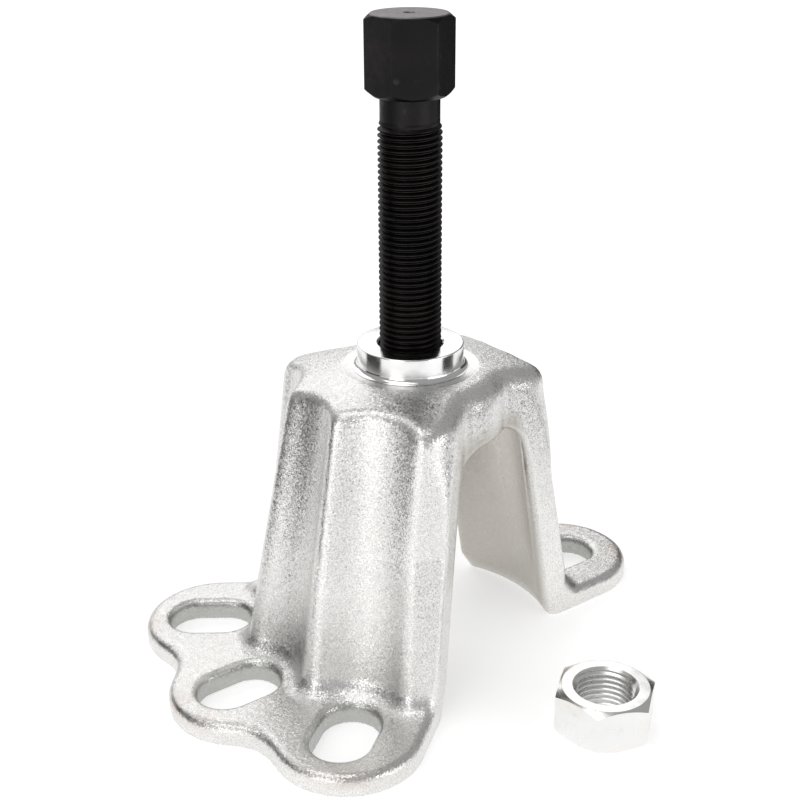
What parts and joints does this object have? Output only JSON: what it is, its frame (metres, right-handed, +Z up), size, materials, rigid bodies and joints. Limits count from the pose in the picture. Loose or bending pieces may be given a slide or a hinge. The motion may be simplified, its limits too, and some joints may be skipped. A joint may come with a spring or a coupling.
{
  "type": "wheel hub puller",
  "caption": "Bolt-on wheel hub puller: slotted two-legged yoke, threaded collar, hex-headed forcing screw with a ball tip, and a loose hex nut.",
  "frame": {"origin": "on the floor, under the middle of the box round the puller and its loose nut", "axes": "+Z up along the forcing screw, three-slot foot towards -Y, one-slot foot towards +Y, loose nut on the +X side"},
  "size_m": [0.1284, 0.15, 0.1692],
  "materials": {
    "cast_zinc": "zinc-plated rough forging, fine sparkling grain",
    "turned_steel": "bright turned and plated",
    "black_oxide": "black oxide, semi-matt",
    "ball_steel": "polished bearing steel",
    "nut_zinc": "bright zinc plate"
  },
  "bodies": {
    "puller": {"yoke": "cast_zinc", "threaded_bush": "turned_steel"},
    "tip": {"tip_ball": "ball_steel"},
    "screw": {"forcing_screw": "black_oxide"},
    "nut": {"hex_nut": "nut_zinc"}
  },
  "joints": [
    {"name": "screw_feed", "type": "slide", "parent": "puller", "child": "tip", "axis": [0, 0, 1], "range_m": [-0.0615, 0.036]},
    {"name": "screw_turn", "type": "hinge", "parent": "tip", "child": "screw", "pos_m": [-0.01293, -0.0013, 0.0873], "axis": [0, 0, 1], "range_deg": [-14761, 8641]},
    {"name": "nut_lift", "type": "slide", "parent": "puller", "child": "nut", "axis": [0, 0, 1], "range_m": [0, 0.05]}
  ],
  "couplings": [
    {"joint": "screw_turn", "follows": "screw_feed", "rad_per_m": 4188.8}
  ]
}
